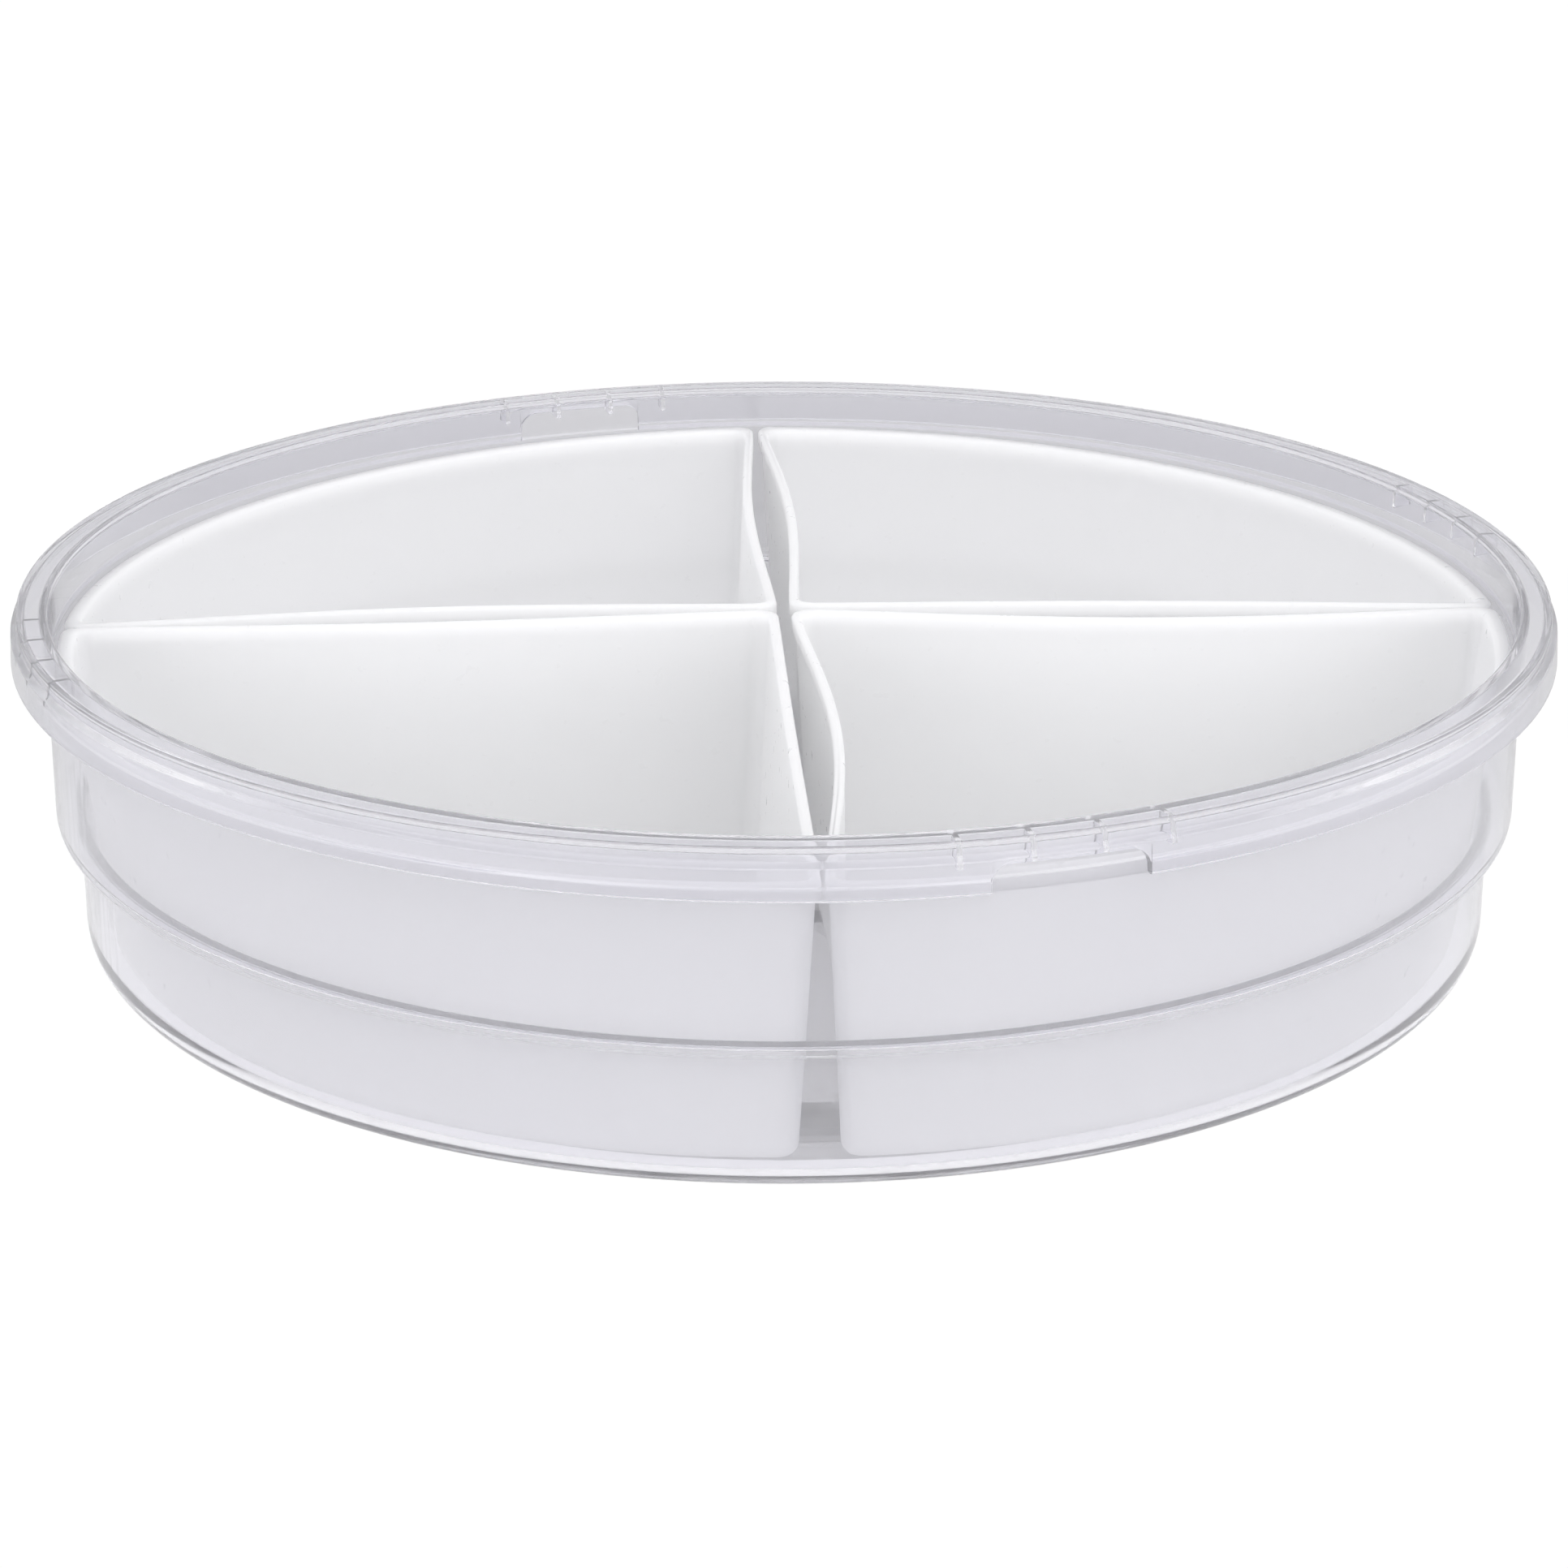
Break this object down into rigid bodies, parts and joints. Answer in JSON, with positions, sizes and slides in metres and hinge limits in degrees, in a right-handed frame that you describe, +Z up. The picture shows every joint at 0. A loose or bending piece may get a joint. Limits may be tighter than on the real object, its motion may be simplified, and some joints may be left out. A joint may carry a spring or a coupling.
{
  "type": "lazy susan turntable",
  "caption": "Round clear tub that turns on a low ball-bearing base and holds white lift-out wedge cups.",
  "frame": {"origin": "on the table under the centre of the feet, on the spin axis", "axes": "+Z up along the spin axis, +X to the right, -Y towards the front"},
  "size_m": [0.302, 0.302, 0.075],
  "materials": {
    "clear_tub": "clear, polished",
    "white_cup": "semi-gloss white",
    "base_plastic": "frosted, translucent white",
    "bearing_steel": "polished steel",
    "zinc_steel": "zinc plated",
    "foot_rubber": "matt grey"
  },
  "bodies": {
    "base": {"base_plate": "base_plastic", "foot_1": "foot_rubber", "foot_2": "foot_rubber", "foot_3": "foot_rubber", "foot_4": "foot_rubber", "foot_5": "foot_rubber", "foot_6": "foot_rubber"},
    "tub": {"tub": "clear_tub", "upper_race": "base_plastic", "pivot_washer": "zinc_steel", "pivot_screw": "zinc_steel"},
    "cage": {"ball_cage": "base_plastic", "ball_01": "bearing_steel", "ball_02": "bearing_steel", "ball_03": "bearing_steel", "ball_04": "bearing_steel", "ball_05": "bearing_steel", "ball_06": "bearing_steel", "ball_07": "bearing_steel", "ball_08": "bearing_steel", "ball_09": "bearing_steel", "ball_10": "bearing_steel", "ball_11": "bearing_steel", "ball_12": "bearing_steel"},
    "cup_back_right": {"cup_back_right": "white_cup"},
    "cup_back_left": {"cup_back_left": "white_cup"},
    "cup_front_left": {"cup_front_left": "white_cup"},
    "cup_front_right": {"cup_front_right": "white_cup"}
  },
  "joints": [
    {"name": "tub_spin", "type": "hinge", "parent": "base", "child": "tub", "pos_m": [0, 0, 0.005], "axis": [0, 0, 1], "continuous": true},
    {"name": "cage_spin", "type": "hinge", "parent": "base", "child": "cage", "pos_m": [0, 0, 0.0044], "axis": [0, 0, 1], "continuous": true},
    {"name": "cup_back_right_lift", "type": "slide", "parent": "tub", "child": "cup_back_right", "axis": [0, 0, 1], "range_m": [0, 0.08]},
    {"name": "cup_back_left_lift", "type": "slide", "parent": "tub", "child": "cup_back_left", "axis": [0, 0, 1], "range_m": [0, 0.08]},
    {"name": "cup_front_left_lift", "type": "slide", "parent": "tub", "child": "cup_front_left", "axis": [0, 0, 1], "range_m": [0, 0.08]},
    {"name": "cup_front_right_lift", "type": "slide", "parent": "tub", "child": "cup_front_right", "axis": [0, 0, 1], "range_m": [0, 0.08]}
  ],
  "couplings": [
    {"joint": "cage_spin", "follows": "tub_spin", "ratio": 0.5}
  ]
}
